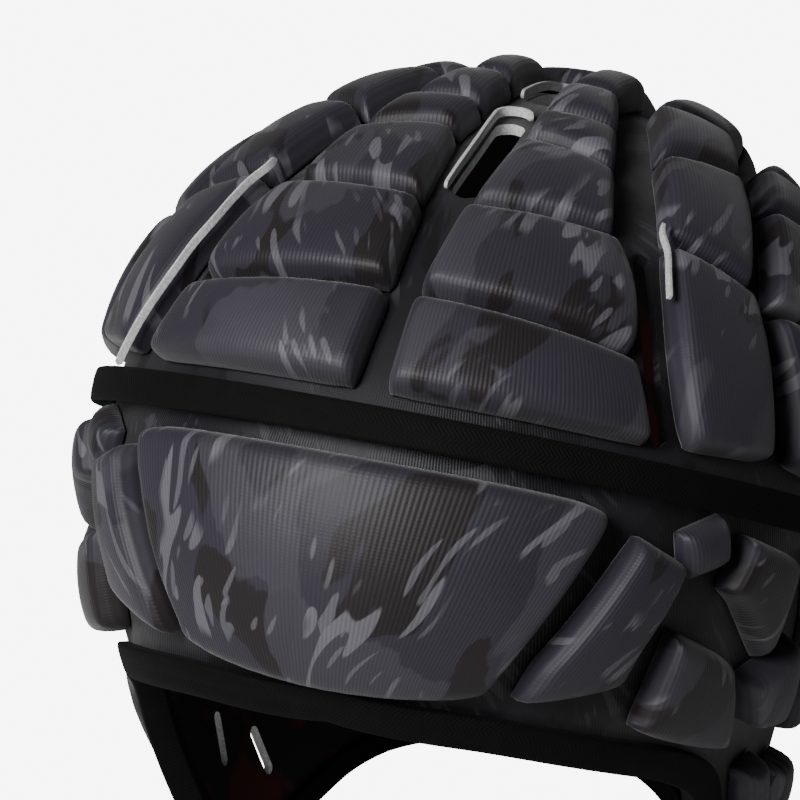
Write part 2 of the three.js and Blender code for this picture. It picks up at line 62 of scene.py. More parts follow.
class Side(Enum):
    """The wearer's two sides, and which way X runs on each."""

    LEFT = 1
    RIGHT = -1


# Curves and the form of the cap


def smooth_table(rows: Rows, column: int, place: Array) -> Array:
    """Reads a table smoothly between its rows.

    Args:
        rows: the table, whose first column grows down the rows.
        column: the column to read.
        place: where to read it, on the first column's scale.

    Returns:
        The column's value at each place.
    """
    table = np.array(rows, float)
    keys, values = table[:, 0], table[:, column]
    k = np.clip(np.searchsorted(keys, place, side="left") - 1, 0, len(keys) - 2)
    step = keys[k + 1] - keys[k]
    share = (place - keys[k]) / step
    low, high = np.maximum(np.arange(len(keys)) - 1, 0), np.minimum(np.arange(len(keys)) + 1, len(keys) - 1)
    slope = (values[high] - values[low]) / (keys[high] - keys[low])
    square, cube = share**2, share**3
    return (
        values[k] * (2 * cube - 3 * square + 1)
        + slope[k] * step * (cube - 2 * square + share)
        + values[k + 1] * (3 * square - 2 * cube)
        + slope[k + 1] * step * (cube - square)
    )


def spline(points: Array, count: int) -> Array:
    """Carries a smooth curve through chosen points.

    Args:
        points: the chosen points, one a row.
        count: how many points to return.

    Returns:
        Points along the curve, from the first chosen point to the last.
    """
    ends = np.vstack([2 * points[0] - points[1], points, 2 * points[-1] - points[-2]])
    place = np.linspace(0, len(points) - 1, count)
    k = np.minimum(place.astype(int), len(points) - 2)
    share = (place - k)[:, None]
    p0, p1, p2, p3 = (ends[k + i] for i in range(4))
    d0, d1, d2 = (np.sqrt(np.linalg.norm(b - a, axis=1))[:, None] for a, b in ((p0, p1), (p1, p2), (p2, p3)))
    start = ((p1 - p0) / d0 - (p2 - p0) / (d0 + d1) + (p2 - p1) / d1) * d1
    end = ((p2 - p1) / d1 - (p3 - p1) / (d1 + d2) + (p3 - p2) / d2) * d1
    square, cube = share**2, share**3
    return (
        p1 * (2 * cube - 3 * square + 1)
        + start * (cube - 2 * square + share)
        + p2 * (3 * square - 2 * cube)
        + end * (cube - square)
    )


def unit(vectors: Array) -> Array:
    """Scales each row to length one."""
    return vectors / np.maximum(np.linalg.norm(vectors, axis=-1, keepdims=True), 1e-12)


def even(points: Array, count: int) -> Array:
    """Spaces points evenly along a line.

    Args:
        points: the line's points, one a row.
        count: how many points to return.

    Returns:
        Row numbers, with fractions, of evenly spaced places on the line.
    """
    lengths = np.concatenate([[0], np.cumsum(np.linalg.norm(np.diff(points, axis=0), axis=1))])
    return np.interp(np.linspace(0, lengths[-1], count), lengths, np.arange(len(points)))


def rows_at(values: Array, place: Array) -> Array:
    """Reads rows at fractional row numbers."""
    return np.stack([np.interp(place, np.arange(len(values)), column) for column in values.T], axis=1)


def angles_to_directions(angles: Array) -> Array:
    """Turns rows of bearing and height angle into directions of length one."""
    b, h = np.radians(angles).T
    return np.stack([np.sin(b) * np.cos(h), -np.cos(b) * np.cos(h), np.sin(h)], axis=1)


def directions_to_angles(directions: Array) -> tuple[Array, Array]:
    """Turns directions of length one into bearings and height angles."""
    bearing = np.degrees(np.arctan2(directions[..., 0], -directions[..., 1]))
    return bearing, np.degrees(np.arcsin(np.clip(directions[..., 2], -1, 1)))


@dataclass(frozen=True)
class HeadForm:
    """The form over the pads, measured from the widest plane of the head, with its seams as angles."""

    width: float = 0.186
    front_reach: float = 0.1123
    back_reach: float = 0.1149
    crown_height: float = 0.0858
    flap_drop: float = 0.128
    fullness: float = 2.2
    pad_depth: float = 0.009
    wall: float = 0.0026
    gap: float = 0.0005
    flap_angle: float = 60.0
    tape_width: float = 0.0086
    tape_front_rise: float = 0.0654
    tape_back_drop: float = 0.0735
    binding_width: float = 0.009
    brow_drop: float = 0.012
    sections: Rows = (
        (0, 1, 1, 1),
        (0.2, 0.985, 0.99, 0.99),
        (0.4, 0.915, 0.94, 0.95),
        (0.6, 0.868, 0.87, 0.87),
        (0.8, 0.79, 0.79, 0.76),
        (1.05, 0.67, 0.7, 0.63),
    )
    lower_edge: Rows = (
        (0, 0),
        (25, 0.055),
        (45, 0.165),
        (58, 0.27),
        (65.5, 0.37),
        (69.5, 0.51),
        (72.5, 0.67),
        (76, 0.83),
        (83, 0.94),
        (95, 0.985),
        (105, 0.975),
        (116, 0.958),
        (128, 0.93),
        (142, 0.914),
        (180, 0.91),
    )

    @property
    def head_top(self) -> float:
        """How far the origin lies above the widest plane."""
        return self.crown_height - self.pad_depth - self.wall

    def points(self, bearing: Array, height: Array, inset: float) -> Array:
        """Finds points of the form.

        Args:
            bearing: degrees from the front, growing to the wearer's left.
            height: degrees up from the widest plane, and down to the flaps' end at -flap_angle.
            inset: how far inside the surface over the pads.

        Returns:
            The points, one a row.
        """
        bearing, height = np.broadcast_arrays(np.asarray(bearing, float), np.asarray(height, float))
        b = np.radians(bearing)
        ahead = np.cos(b) > 0
        drop = np.maximum(-height / self.flap_angle, 0)
        side = smooth_table(self.sections, 1, drop) * self.width / 2 - inset
        front = smooth_table(self.sections, 2, drop) * self.front_reach
        back = smooth_table(self.sections, 3, drop) * self.back_reach
        reach = np.where(ahead, front, back) - inset
        low = np.stack([side * np.sin(b), -reach * np.cos(b), -drop * self.flap_drop], axis=-1)
        h = np.radians(np.clip(height, 0, 90))
        out, up = np.cos(h), np.sin(h)
        scale = (np.abs(out) ** self.fullness + up**self.fullness) ** (-1 / self.fullness)
        reach = np.where(ahead, self.front_reach, self.back_reach) - inset
        high = np.stack(
            [
                (self.width / 2 - inset) * np.sin(b) * out * scale,
                -reach * np.cos(b) * out * scale,
                (self.crown_height - inset) * up * scale,
            ],
            axis=-1,
        )
        found = np.where((height < 0)[..., None], low, high)
        found[..., 2] -= self.head_top
        return found

    def normals(self, bearing: Array, height: Array, inset: float) -> Array:
        """Finds the outward directions at points of the form, with the arguments of points."""
        nudge = 0.4
        height = np.minimum(np.asarray(height, float), 89)
        across = self.points(bearing + nudge, height, inset) - self.points(bearing - nudge, height, inset)
        along = self.points(bearing, height + nudge, inset) - self.points(bearing, height - nudge, inset)
        return unit(np.cross(across, along))

    def tape_height(self, bearing: Array) -> Array:
        """Height angle of the middle tape, on a plane that falls towards the nape."""
        slope = (self.tape_front_rise + self.tape_back_drop) / (self.front_reach + self.back_reach)
        level = self.tape_front_rise - slope * self.front_reach - self.head_top
        low = np.full(np.shape(bearing), -self.flap_angle)
        high = -low
        for _ in range(30):
            middle = (low + high) / 2
            p = self.points(bearing, middle, self.pad_depth / 2)
            above = p[..., 2] > level - slope * p[..., 1]
            high, low = np.where(above, middle, high), np.where(above, low, middle)
        return (low + high) / 2

    def per_degree(self, bearing: Array, height: Array) -> Array:
        """Length on the shell of one degree of height."""
        high, low = (self.points(bearing, height + turn, self.pad_depth) for turn in (0.5, -0.5))
        return np.linalg.norm(high - low, axis=-1)

    def tape_edge(self, bearing: Array, side: int) -> Array:
        """Height angle of the tape's upper (1) or lower (-1) edge, with its clearance to the pads."""
        height = self.tape_height(bearing)
        tilt = math.atan((self.tape_front_rise + self.tape_back_drop) / (self.front_reach + self.back_reach))
        reach = (self.tape_width / 2 + self.gap) / math.cos(tilt)
        return height + side * reach / self.per_degree(bearing, height)

    def edge_line(self, count: int = 400) -> Array:
        """The bound lower edge on the wearer's left, as bearings and height angles."""
        rows = np.array(self.lower_edge, float)
        drop = self.brow_drop + rows[:, 1] * (self.flap_drop - self.brow_drop)
        return spline(np.stack([rows[:, 0], -self.flap_angle * drop / self.flap_drop], axis=1), count)

    def edge_height(self, bearing: Array) -> Array:
        """Height angle of the bound edge at a bearing."""
        line = self.edge_line()
        return np.interp(np.abs(bearing), line[:, 0], line[:, 1])

    def edge_top(self, bearing: Array) -> Array:
        """Height angle just above the binding at a bearing."""
        height = self.edge_height(bearing)
        return height + (self.binding_width / 2 + self.gap) / self.per_degree(bearing, height)

    def risen(self, route: Rows) -> Array:
        """Turns bearings and shares of the way from the tape to the crown into angles."""
        route = np.array(route, float)
        foot = self.tape_edge(route[:, 0], 1)
        return np.stack([route[:, 0], foot + route[:, 1] * (90 - foot)], axis=1)

    def fallen(self, route: Rows) -> Array:
        """Turns bearings and shares of the way from the tape to the bound edge into angles."""
        route = np.array(route, float)
        top = self.tape_edge(route[:, 0], -1)
        return np.stack([route[:, 0], top + route[:, 1] * (self.edge_top(route[:, 0]) - top)], axis=1)

    def along(self, angles: Array, count: int, inset: float) -> tuple[Array, Array]:
        """Carries a smooth line over the form.

        Args:
            angles: the bearings and height angles it passes.
            count: how many places to return.
            inset: how far inside the surface over the pads.

        Returns:
            The places and their outward directions.
        """
        bearing, height = directions_to_angles(unit(spline(angles_to_directions(angles), count)))
        return self.points(bearing, height, inset), self.normals(bearing, height, inset)


# Modelling by hand


def deselect() -> None:
    """Leaves nothing selected."""
    if bpy.context.object and bpy.context.object.mode != "OBJECT":
        bpy.ops.object.mode_set(mode="OBJECT")
    bpy.ops.object.select_all(action="DESELECT")


def pick(piece: bpy.types.Object) -> None:
    """Selects one object alone and makes it active."""
    deselect()
    piece.select_set(True)
    bpy.context.view_layer.objects.active = piece


def edit(piece: bpy.types.Object, *steps: Callable[[], object]) -> None:
    """Runs edit-mode operators on all of one piece.

    Args:
        piece: the piece to edit.
        steps: the operators, called in order with everything selected.
    """
    pick(piece)
    bpy.ops.object.mode_set(mode="EDIT")
    bpy.ops.mesh.select_all(action="SELECT")
    for step in steps:
        step()
    bpy.ops.object.mode_set(mode="OBJECT")


def with_modifier(piece: bpy.types.Object, kind: str, **settings: object) -> None:
    """Adds a modifier with its settings and applies it."""
    pick(piece)
    modifier = piece.modifiers.new(kind.title(), kind)
    for name, value in settings.items():
        setattr(modifier, name, value)
    bpy.ops.object.modifier_apply(modifier=modifier.name)


def read_places(piece: bpy.types.Object) -> Array:
    """The piece's vertices, one a row."""
    places = np.empty(len(piece.data.vertices) * 3)
    piece.data.vertices.foreach_get("co", places)
    return places.reshape(-1, 3)


def write_places(piece: bpy.types.Object, places: Array) -> None:
    """Moves the piece's vertices."""
    piece.data.vertices.foreach_set("co", places.ravel())
    piece.data.update()


def lay_flat(piece: bpy.types.Object, flat: Array) -> None:
    """Writes each vertex's place on the flat cloth to the piece's weave map."""
    corners = np.empty(len(piece.data.loops), np.int32)
    piece.data.loops.foreach_get("vertex_index", corners)
    piece.data.uv_layers["Weave"].data.foreach_set("uv", flat[corners].astype(np.float32).ravel())


def grid(
    name: str,
    columns: int,
    rows: int,
    place: Callable[[Array, Array], Array],
    flat: tuple[float, float] = (1, 1),
) -> bpy.types.Object:
    """Adds a grid and lays it over a surface.

    Args:
        name: the piece's name.
        columns: faces along it.
        rows: faces across it.
        place: gives the points for shares along and across.
        flat: its length and breadth laid flat, for the weave.

    Returns:
        The laid piece, with a flat map in metres.
    """
    deselect()
    bpy.ops.mesh.primitive_grid_add(x_subdivisions=columns, y_subdivisions=rows, size=1)
    piece = bpy.context.object
    piece.name = piece.data.name = name
    shares = read_places(piece)
    write_places(piece, place(shares[:, 0] + 0.5, shares[:, 1] + 0.5))
    layer = piece.data.uv_layers[0]
    layer.name = "Weave"
    flat_map = np.empty(len(layer.data) * 2, np.float32)
    layer.data.foreach_get("uv", flat_map)
    flat_map = flat_map.reshape(-1, 2) * np.array(flat, np.float32)
    layer.data.foreach_set("uv", flat_map.ravel())
    return piece


def ribbon(
    name: str,
    path: Array,
    outward: Array,
    width: float,
    columns: int,
    rows: int,
    closed: bool = False,
    crown: float = 0.0,
    rounded: float = 0.0,
) -> bpy.types.Object:
    """Lays a ribbon along a line, square to the line and to its outward directions.

    Args:
        name: the piece's name.
        path: the line's points.
        outward: the outward direction at each point.
        width: the ribbon's width.
        columns: faces along it.
        rows: faces across it.
        closed: whether the line runs round a loop, with its first point given again at the end.
        crown: how far its middle stands above its edges.
        rounded: length of each rounded end.

    Returns:
        The ribbon, facing out, with no thickness yet.
    """
    where = even(path, columns + 1)
    places, outs = rows_at(path, where), rows_at(outward, where)
    if closed:
        steps = np.roll(places[:-1], -1, axis=0) - np.roll(places[:-1], 1, axis=0)
        steps = np.vstack([steps, steps[:1]])
    else:
        steps = np.gradient(places, axis=0)
    run = unit(steps)
    outs = unit(outs - run * np.sum(outs * run, axis=1, keepdims=True))
    across = np.cross(outs, run)
    length = float(np.sum(np.linalg.norm(np.diff(places, axis=0), axis=1)))

    def place(u: Array, v: Array) -> Array:
        """Points of the ribbon at shares along and across it."""
        at = u * columns
        side = 2 * v - 1
        narrow = 1
        if rounded:
            ends = np.clip(np.minimum(u, 1 - u) * length / rounded, 0, 1)
            narrow = np.sqrt(np.clip(1 - (1 - ends) ** 2, 0.02, 1))
        lift = crown * (1 - np.abs(side) ** 3)
        offset = (side * width / 2 * narrow)[:, None]
        return rows_at(places, at) + rows_at(across, at) * offset + rows_at(outs, at) * lift[:, None]

    piece = grid(name, columns, rows, place, (length, width))
    if closed:
        edit(piece, lambda: bpy.ops.mesh.remove_doubles(threshold=1e-5))
    return piece


def thicken(piece: bpy.types.Object, thickness: float, rounding: float, inner_material: int = 0) -> None:
    """Gives a laid piece its thickness, inwards, and rounds its edges.

    Args:
        piece: the piece, facing out.
        thickness: how far its inner face lies behind its outer face.
        rounding: radius of its edges, or 0 for cut edges.
        inner_material: how many material slots further the inner face's finish is.
    """
    walls = {"thickness": thickness, "offset": -1, "use_even_offset": True, "material_offset": inner_material}
    with_modifier(piece, "SOLIDIFY", **walls)
    if rounding:
        edges = {"limit_method": "ANGLE", "angle_limit": math.radians(50)}
        with_modifier(piece, "BEVEL", width=rounding, segments=3, **edges)


def smooth(piece: bpy.types.Object, angle: float = 40) -> None:
    """Shades a piece smoothly, with edges sharper than an angle in degrees kept."""
    pick(piece)
    bpy.ops.object.shade_smooth_by_angle(angle=math.radians(angle))


def finished(piece: bpy.types.Object, slot: Slot, *nodes: str) -> bpy.types.Object:
    """Finishes a piece: it rides on the cap's one body, and the CAD nodes it stands for are hidden."""
    if nodes:
        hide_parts(*nodes)
    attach(piece, "root")
    LOG.info("%s: %d faces", piece.name, len(piece.data.polygons))
    return piece


# Shader node helpers


class Wiring:
    """Adds nodes to a shader tree and links them."""

    def __init__(self, tree: bpy.types.NodeTree) -> None:
        """Starts on an emptied tree."""
        self.tree = tree
        tree.nodes.clear()

    def node(self, kind: str, inputs: Optional[dict] = None, **settings: object) -> bpy.types.Node:
        """Adds a node.

        Args:
            kind: the node's type name, without ShaderNode.
            inputs: values or output sockets for its inputs, by name or number.
            settings: its other settings.

        Returns:
            The node.
        """
        made = self.tree.nodes.new(kind if kind.startswith("NodeGroup") else "ShaderNode" + kind)
        for name, value in settings.items():
            setattr(made, name, value)
        for key, value in (inputs or {}).items():
            if isinstance(value, bpy.types.NodeSocket):
                self.tree.links.new(value, made.inputs[key])
            else:
                made.inputs[key].default_value = value
        return made

    def fill(self, node: bpy.types.Node, **values: object) -> None:
        """Sets or links a node's inputs, given by name with words joined by underscores."""
        for key, value in values.items():
            socket = node.inputs[key.replace("_", " ")]
            if isinstance(value, bpy.types.NodeSocket):
                self.tree.links.new(value, socket)
            else:
                socket.default_value = value

    def math(self, operation: str, a: object, b: object = 0.0) -> bpy.types.NodeSocket:
        """Adds one sum of two values or sockets and returns its result."""
        return self.node("Math", {0: a, 1: b}, operation=operation).outputs[0]

    def scaled(self, value: object, factor: float, shift: float) -> bpy.types.NodeSocket:
        """A value times a factor, plus a shift."""
        return self.node("Math", {0: value, 1: factor, 2: shift}, operation="MULTIPLY_ADD").outputs[0]

    def vector(self, operation: str, a: object, b: object) -> bpy.types.NodeSocket:
        """Adds one sum of two vectors, or of a vector and a scale, and returns its result."""
        key = "Scale" if operation == "SCALE" else 1
        return self.node("VectorMath", {0: a, key: b}, operation=operation).outputs[0]

    def bump(self, height: object, strength: float, distance: float = 0.0002) -> bpy.types.NodeSocket:
        """A normal bumped by a height."""
        return self.node("Bump", {"Height": height, "Strength": strength, "Distance": distance}).outputs[0]

    def blend(self, share: object, a: object, b: object, mode: str = "MIX") -> bpy.types.NodeSocket:
        """Mixes two colours by a share and returns the result."""
        made = self.node("Mix", {0: share, 6: a, 7: b}, data_type="RGBA", blend_type=mode)
        return made.outputs[2]

    def step(self, value: object, low: float, high: float) -> bpy.types.NodeSocket:
        """A soft step of a value from 0 at low to 1 at high."""
        made = self.node(
            "MapRange", {"Value": value, "From Min": low, "From Max": high}, interpolation_type="SMOOTHSTEP"
        )
        return made.outputs[0]

    def noise(
        self, vector: object, scale: object, detail: float = 2.0, roughness: float = 0.5
    ) -> bpy.types.NodeSocket:
        """A noise value over a vector."""
        inputs = {"Vector": vector, "Scale": scale, "Detail": detail, "Roughness": roughness}
        return self.node("TexNoise", inputs).outputs["Fac"]

    def use(self, group: bpy.types.NodeTree, **inputs: object) -> bpy.types.Node:
        """Places a node group, with its inputs given by name, words joined by underscores."""
        made = self.tree.nodes.new("ShaderNodeGroup")
        made.node_tree = group
        self.fill(made, **inputs)
        return made


class Effects:
    """The shader node groups that the finishes share, each made once."""

    def __init__(self) -> None:
        """Makes all the groups."""
        weave = {"Weave": "Vector", "Pitch": "Float"}
        print_inputs = {"Vector": "Vector", "Weave": "Vector"}
        print_inputs.update({name: "Color" for name in ("Ground", "Dark", "Mid", "Pale")})
        self.rib_knit = self._group("rib_knit", weave, ["Height", "Thread"], self._rib_knit)
        self.streaks = self._group("streaked_print", print_inputs, ["Color"], self._streaks)
        self.twill = self._group("twill", weave, ["Height", "Thread"], self._twill)
        wear = {"Vector": "Vector", "Scale": "Float"}
        self.wear = self._group("handling_wear", wear, ["Fade", "Creases"], self._wear)

    @staticmethod
    def _group(
        name: str,
        inputs: dict[str, str],
        outputs: list[str],
        fill: Callable[[Wiring, bpy.types.Node, bpy.types.Node], None],
    ) -> bpy.types.NodeTree:
        """Makes one group.

        Args:
            name: its name.
            inputs: each input's socket type, by name.
            outputs: its outputs' names. One called Color is a colour, and the rest are values.
            fill: wires its nodes between the two end nodes.

        Returns:
            The group.
        """
        tree = bpy.data.node_groups.new(name, "ShaderNodeTree")
        for label, kind in inputs.items():
            tree.interface.new_socket(label, in_out="INPUT", socket_type=f"NodeSocket{kind}")
        for label in outputs:
            kind = "NodeSocketColor" if label == "Color" else "NodeSocketFloat"
            tree.interface.new_socket(label, in_out="OUTPUT", socket_type=kind)
        wiring = Wiring(tree)
        fill(wiring, wiring.node("NodeGroupInput"), wiring.node("NodeGroupOutput"))
        return tree

    @staticmethod
    def _rib_knit(w: Wiring, given: bpy.types.Node, result: bpy.types.Node) -> None:
        """Upright ribs of a fine knit, with the loops that run along each rib."""
        loops_per_rib, loop_depth = 1.25, 0.18
        parts = w.node("SeparateXYZ", {0: given.outputs["Weave"]})
        turn = w.math("DIVIDE", 2 * math.pi, given.outputs["Pitch"])
        rib = w.math("SINE", w.math("MULTIPLY", parts.outputs["X"], turn))
        along = w.math("MULTIPLY", w.math("MULTIPLY", parts.outputs["Y"], turn), loops_per_rib)
        ridge = w.scaled(rib, 0.5, 0.5)
        link = w.scaled(w.math("SINE", along), loop_depth, 1 - loop_depth)
        w.fill(result, Height=w.math("MULTIPLY", ridge, link), Thread=ridge)

    @staticmethod
    def _streaks(w: Wiring, given: bpy.types.Node, result: bpy.types.Node) -> None:
        """A generic brushed print: dark and mid patches drawn out one way, with thin pale strokes.

        The patches run through space over the whole cap, and the strokes lie along each piece's flat cloth.
        A noise's scale is roughly the number of its features in a metre.
        """
        here, weave = given.outputs["Vector"], given.outputs["Weave"]
        patch_sway, stroke_sway = 0.022, 0.011
        patch_lean, stroke_lean = (math.radians(48), math.radians(-12), 0), (0, 0, math.radians(-22))
        patch_stretch, stroke_stretch = (1.0, 1.0, 0.30), (1.0, 0.15, 1.0)
        tint_offset, cluster_offset = (0.37, 0.11, 0.71), (0.31, 0.17, 0.53)
        ragged = 0.14

        wobble = w.node("TexNoise", {"Vector": here, "Scale": 24.0, "Detail": 1.0}).outputs["Color"]
        centred = w.vector("SUBTRACT", wobble, (0.5, 0.5, 0.5))
        place = w.vector("ADD", here, w.vector("SCALE", centred, patch_sway))
        turned = w.node("Mapping", {"Vector": place, "Rotation": patch_lean}).outputs[0]
        drawn = w.vector("MULTIPLY", turned, patch_stretch)

        sway = w.node("TexNoise", {"Vector": weave, "Scale": 38.0, "Detail": 0.0}).outputs["Color"]
        swayed = w.vector("ADD", weave, w.vector("SCALE", sway, stroke_sway))
        leant = w.node("Mapping", {"Vector": swayed, "Rotation": stroke_lean}).outputs[0]
        brushed = w.vector("MULTIPLY", leant, stroke_stretch)

        bristles = w.math("MULTIPLY", w.math("SUBTRACT", w.noise(brushed, 330.0, 1.0), 0.5), ragged)
        patches = w.math("ADD", w.noise(drawn, 62.0, 1.0, 0.4), bristles)
        tints = w.noise(w.vector("ADD", drawn, tint_offset), 50.0, 1.0, 0.4)
        dark = w.math("SUBTRACT", 1.0, w.step(patches, 0.425, 0.445))
        mid = w.step(w.math("ADD", tints, bristles), 0.565, 0.59)
        stroke = w.step(w.noise(brushed, 290.0, 0.0), 0.64, 0.68)
        thin = w.step(w.noise(brushed, 480.0, 0.0), 0.65, 0.69)
        near = w.step(w.noise(w.vector("ADD", place, cluster_offset), 42.0, 1.0), 0.49, 0.57)
        pale = w.math("MULTIPLY", w.math("MAXIMUM", stroke, w.math("MULTIPLY", thin, 0.7)), near)
        colour = w.blend(dark, given.outputs["Ground"], given.outputs["Dark"])
        colour = w.blend(w.math("MULTIPLY", mid, 0.75), colour, given.outputs["Mid"])
        colour = w.blend(w.math("MULTIPLY", pale, 0.72), colour, given.outputs["Pale"])
        w.fill(result, Color=colour)

    @staticmethod
    def _twill(w: Wiring, given: bpy.types.Node, result: bpy.types.Node) -> None:
        """Slanting cords of a herringbone twill that turns back in narrow bands across the tape."""
        band, slope, weft_depth = 0.0022, 0.9, 0.15
        parts = w.node("SeparateXYZ", {0: given.outputs["Weave"]})
        turn = w.math("DIVIDE", 2 * math.pi, given.outputs["Pitch"])
        zigzag = w.math("PINGPONG", parts.outputs["Y"], band)
        slant = w.math("ADD", parts.outputs["X"], w.math("MULTIPLY", zigzag, slope))
        weft = w.math("SINE", w.math("MULTIPLY", w.math("MULTIPLY", parts.outputs["Y"], turn), 2.0))
        ridge = w.scaled(w.math("SINE", w.math("MULTIPLY", slant, turn)), 0.5, 0.5)
        link = w.scaled(weft, weft_depth, 1 - weft_depth)
        w.fill(result, Height=w.math("MULTIPLY", ridge, link), Thread=ridge)

    @staticmethod
    def _wear(w: Wiring, given: bpy.types.Node, result: bpy.types.Node) -> None:
        """Uneven fading, and the shallow soft dents of handled cloth."""
        here, scale = given.outputs["Vector"], given.outputs["Scale"]
        dents = w.noise(here, w.math("MULTIPLY", scale, 4.0))
        w.fill(result, Fade=w.noise(here, scale, 3.0), Creases=dents)


Colour = tuple[float, float, float]


def paint(rgb: Colour) -> tuple[float, float, float, float]:
    """A colour with full alpha."""
    return (*rgb, 1.0)


def bare_material(name: str) -> tuple[bpy.types.Material, Wiring, bpy.types.Node]:
    """Starts a material.

    Args:
        name: its name.

    Returns:
        The material, its wiring and its surface shader.
    """
    material = bpy.data.materials.new(name)
    material.use_nodes = True
    w = Wiring(material.node_tree)
    shader = w.node("BsdfPrincipled")
    out = w.node("OutputMaterial")
    w.tree.links.new(shader.outputs[0], out.inputs[0])
    return material, w, shader


@dataclass(frozen=True)
class PrintedKnit:
    """Satin rib knit with a streaked print. A shade below one darkens the whole cloth as painted shade."""

    ground: Colour = (0.031, 0.028, 0.041)
    dark: Colour = (0.0145, 0.0105, 0.0128)
    mid: Colour = (0.058, 0.054, 0.069)
    pale: Colour = (0.19, 0.185, 0.21)
    rib_pitch: float = 0.00085
    name: str = "printed_rib_knit"
    # Below one, the whole cloth is darkened as painted shade, for copies that lie in the creases.
    shade: float = 1.0
    roughness: float = 0.52
    sheen: float = 0.25

    def build(self, effects: Effects) -> bpy.types.Material:
        """Builds the material from the shared effects."""
        material, w, shader = bare_material(self.name)
        here = w.node("TexCoord").outputs["Object"]
        flat = w.node("UVMap", uv_map="Weave").outputs[0]
        paints = {name.title(): paint(getattr(self, name)) for name in ("ground", "dark", "mid", "pale")}
        ink = w.use(effects.streaks, Vector=here, Weave=flat, **paints)
        knit = w.use(effects.rib_knit, Weave=flat, Pitch=self.rib_pitch)
        wear = w.use(effects.wear, Vector=here, Scale=34.0)
        thread = w.scaled(knit.outputs["Thread"], 0.24, 0.87)
        # The wear's random fading, scaled by shade, which below one is painted shade.
        fade_and_painted_shade = w.scaled(wear.outputs["Fade"], 0.5 * self.shade, 0.75 * self.shade)
        shade = w.math("MULTIPLY", thread, fade_and_painted_shade)
        tone = w.node("CombineColor", {0: shade, 1: shade, 2: shade})
        height = w.math("ADD", knit.outputs["Height"], w.math("MULTIPLY", wear.outputs["Creases"], 2.5))
        w.fill(
            shader,
            Base_Color=w.blend(1.0, ink.outputs["Color"], tone.outputs[0], "MULTIPLY"),
            Roughness=w.scaled(wear.outputs["Fade"], 0.18, self.roughness - 0.09),
            Normal=w.bump(height, 0.4, 0.00015),
            Sheen_Weight=self.sheen,
            Sheen_Roughness=0.45,
            Specular_IOR_Level=0.42,
        )
        return material


@dataclass(frozen=True)
class WovenTape:
    """Dull woven tape or webbing, with slanting cords."""

    name: str
    yarn: Colour
    shadow: Colour
    pitch: float
    roughness: float = 0.78

    def build(self, effects: Effects) -> bpy.types.Material:
        """Builds the material from the shared effects."""
        material, w, shader = bare_material(self.name)
        here = w.node("TexCoord").outputs["Object"]
        flat = w.node("UVMap", uv_map="Weave").outputs[0]
        weave = w.use(effects.twill, Weave=flat, Pitch=self.pitch)
        wear = w.use(effects.wear, Vector=here, Scale=60.0)
        colour = w.blend(weave.outputs["Thread"], paint(self.shadow), paint(self.yarn))
        lint = paint(tuple(2.2 * c for c in self.yarn))
        w.fill(
            shader,
            Base_Color=w.blend(w.math("MULTIPLY", wear.outputs["Creases"], 0.5), colour, lint),
            Roughness=w.scaled(wear.outputs["Fade"], 0.2, self.roughness - 0.1),
            Normal=w.bump(weave.outputs["Height"], 0.5),
            Specular_IOR_Level=0.12,
            Sheen_Weight=0.02,
        )
        return material


@dataclass(frozen=True)
class CutFoam:
    """The pale cut edge of the foam inside the cloth."""

    face: Colour = (0.86, 0.86, 0.85)
    pore: Colour = (0.62, 0.62, 0.62)

    def build(self) -> bpy.types.Material:
        """Builds the material."""
        material, w, shader = bare_material("cut_foam")
        here = w.node("TexCoord").outputs["Object"]
        pores = w.noise(here, 1500.0, 2.0)
        patches = w.noise(here, 220.0, 2.0)
        solid = w.step(w.math("MULTIPLY", pores, w.math("ADD", patches, 0.5)), 0.35, 0.62)
        colour = w.blend(solid, paint(self.pore), paint(self.face))
        w.fill(shader, Base_Color=colour, Normal=w.bump(pores, 0.5), Roughness=0.85)
        return material


@dataclass(frozen=True)
class Lining:
    """The black inner cloth, with dark red patches of its own print."""

    black: Colour = (0.006, 0.0055, 0.006)
    red: Colour = (0.075, 0.004, 0.007)

    def build(self, effects: Effects) -> bpy.types.Material:
        """Builds the material from the shared effects."""
        material, w, shader = bare_material("lining_cloth")
        here = w.node("TexCoord").outputs["Object"]
        wear = w.use(effects.wear, Vector=here, Scale=55.0)
        patches = w.step(wear.outputs["Fade"], 0.54, 0.62)
        colour = w.blend(patches, paint(self.black), paint(self.red))
        w.fill(shader, Base_Color=colour, Normal=w.bump(w.noise(here, 900.0, 1.0), 0.4), Roughness=0.8)
        return material


# The cap's sub-assemblies


